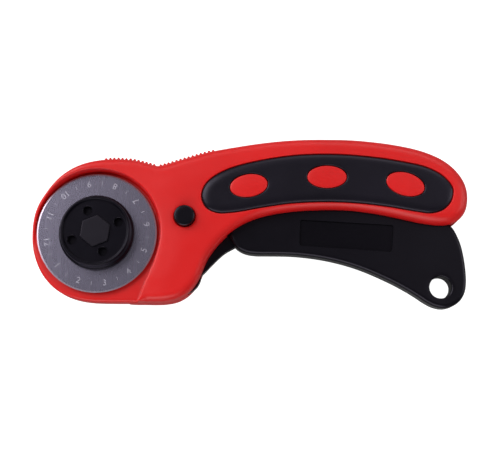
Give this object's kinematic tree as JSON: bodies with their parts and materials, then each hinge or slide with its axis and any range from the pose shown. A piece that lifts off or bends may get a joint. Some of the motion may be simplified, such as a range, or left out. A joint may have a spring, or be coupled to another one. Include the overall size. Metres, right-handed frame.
{
  "type": "rotary cutter",
  "caption": "Rotary cutter for cloth: a squeeze lever swings a round blade out of its guard, with a push lock button and a round blade nut.",
  "frame": {"origin": "middle of the bottom of the bounding box; the cutter lies on its flat back on z = 0", "axes": "+X along the length from the blade head to the handle's end, +Y towards the thumb side of the handle, away from the lever, +Z out of the blade side"},
  "size_m": [0.1636, 0.0636, 0.0215],
  "materials": {
    "red_plastic": "satin moulded ABS, faint moulding texture",
    "grip_rubber": "smooth soft rubber with a low sheen",
    "black_plastic": "fine-grained satin plastic",
    "blade_steel": "satin ground carbon steel with a polished bevel",
    "steel": "plain zinc-plated steel"
  },
  "bodies": {
    "housing": {"front_shell": "red_plastic", "rear_shell": "red_plastic", "front_grip_insert": "grip_rubber", "rear_grip_insert": "grip_rubber", "pivot_pin": "steel", "return_spring": "steel", "shell_screw_1": "steel", "shell_screw_2": "steel", "shell_screw_3": "steel", "shell_screw_4": "steel", "shell_screw_5": "steel", "shell_screw_6": "steel"},
    "lever": {"trigger_lever": "black_plastic", "blade_bolt": "steel", "bolt_washer": "steel"},
    "blade_disc": {"blade": "blade_steel"},
    "lock": {"lock_button": "black_plastic", "lock_button_end": "black_plastic"},
    "nut_washer": {"spring_washer": "steel"},
    "nut": {"blade_nut": "black_plastic", "nut_insert": "steel"}
  },
  "joints": [
    {"name": "lever_squeeze", "type": "hinge", "parent": "housing", "child": "lever", "pos_m": [-0.02597, -0.0185, 0.0082], "axis": [0, 0, 1], "range_deg": [0, 12], "stiffness_Nm_per_rad": 2, "springref_deg": -4.58, "deforming": ["return_spring"]},
    {"name": "blade_spin", "type": "hinge", "parent": "lever", "child": "blade_disc", "pos_m": [-0.05717, -0.0036, 0.0137], "axis": [0, 0, 1], "continuous": true},
    {"name": "lock_slide", "type": "slide", "parent": "housing", "child": "lock", "axis": [0, 0, 1], "range_m": [-0.0025, 0]},
    {"name": "nut_lift", "type": "slide", "parent": "lever", "child": "nut_washer", "axis": [0, 0, 1], "range_m": [0, 0.0024]},
    {"name": "nut_unscrew", "type": "hinge", "parent": "nut_washer", "child": "nut", "pos_m": [-0.05717, -0.0036, 0.0165], "axis": [0, 0, 1], "range_deg": [0, 1080]}
  ],
  "couplings": [
    {"joint": "nut_lift", "follows": "nut_unscrew", "m_per_rad": 0.00012732}
  ]
}
